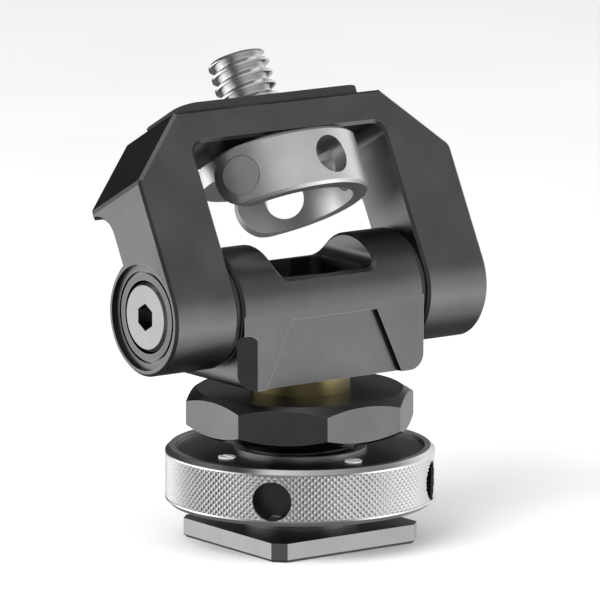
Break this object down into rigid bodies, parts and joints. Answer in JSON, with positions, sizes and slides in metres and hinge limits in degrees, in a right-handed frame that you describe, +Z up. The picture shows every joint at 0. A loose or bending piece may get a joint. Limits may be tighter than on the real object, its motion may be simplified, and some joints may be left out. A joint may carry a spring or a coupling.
{
  "type": "swivel and tilt monitor mount",
  "caption": "Small camera monitor mount: a clamping shoe foot carries a swivelling block, a tilting portal yoke and a captive threaded stud with its thumb wheel.",
  "frame": {"origin": "middle of the foot's lower face, on the swivel axis", "axes": "+Z up along the swivel axis, X along the tilt axis, front towards -Y"},
  "size_m": [0.0398, 0.028, 0.0504],
  "materials": {
    "black_anodised": "satin black anodised",
    "black_anodised_block": "satin black anodised, a shade lighter",
    "silver_knurled": "clear anodised, fine diamond knurl",
    "silver_blasted": "clear anodised, bead blasted",
    "foot_steel": "stainless, brushed",
    "screw_steel": "stainless, turned",
    "spring_steel": "hardened, ground",
    "dark_steel": "grey steel, flush ground",
    "brass": "turned brass",
    "bronze": "sintered bronze",
    "black_plastic": "black nylon",
    "black_rubber": "black rubber, fine grain",
    "black_cover": "black coated"
  },
  "bodies": {
    "foot": {"shoe_foot": "foot_steel", "swivel_collar": "black_anodised", "collar_grub_screws": "dark_steel", "friction_disc": "brass", "swivel_bolt": "dark_steel", "swivel_disc_springs": "spring_steel"},
    "pad": {"clamp_pad": "black_plastic"},
    "ring": {"clamp_ring": "silver_knurled", "ring_top_cover": "black_cover", "ring_cover_screws": "screw_steel"},
    "block": {"swivel_block": "black_anodised_block", "swivel_bush": "bronze", "swivel_thrust_washer": "spring_steel", "tilt_screw_left": "screw_steel", "tilt_disc_spring_left": "spring_steel", "friction_washer_left": "black_plastic", "tilt_screw_right": "screw_steel", "tilt_disc_spring_right": "spring_steel", "friction_washer_right": "black_plastic"},
    "yoke": {"tilt_yoke": "black_anodised", "yoke_pad": "black_rubber", "tilt_bush_left": "bronze", "tilt_bush_right": "bronze"},
    "stud": {"mounting_stud": "screw_steel", "thumb_wheel": "silver_blasted", "wheel_dowel": "dark_steel", "stud_thrust_washer": "spring_steel", "nylon_washer": "black_plastic", "retaining_clip": "spring_steel"}
  },
  "joints": [
    {"name": "clamp_travel", "type": "slide", "parent": "foot", "child": "pad", "axis": [0, 0, 1], "range_m": [-0.00052, 0.00142]},
    {"name": "ring_spin", "type": "hinge", "parent": "pad", "child": "ring", "pos_m": [0, 0, 0.007], "axis": [0, 0, 1], "range_deg": [-180, 504]},
    {"name": "swivel", "type": "hinge", "parent": "foot", "child": "block", "pos_m": [0, 0, 0.0176], "axis": [0, 0, 1], "continuous": true},
    {"name": "tilt", "type": "hinge", "parent": "block", "child": "yoke", "pos_m": [0, 0, 0.0255], "axis": [1, 0, 0], "range_deg": [-62, 108]},
    {"name": "stud_turn", "type": "hinge", "parent": "yoke", "child": "stud", "pos_m": [0, 0.00364, 0.03489], "axis": [0, 0.4695, 0.8829], "continuous": true}
  ],
  "couplings": [
    {"joint": "clamp_travel", "follows": "ring_spin", "m_per_rad": 0.00015915}
  ]
}
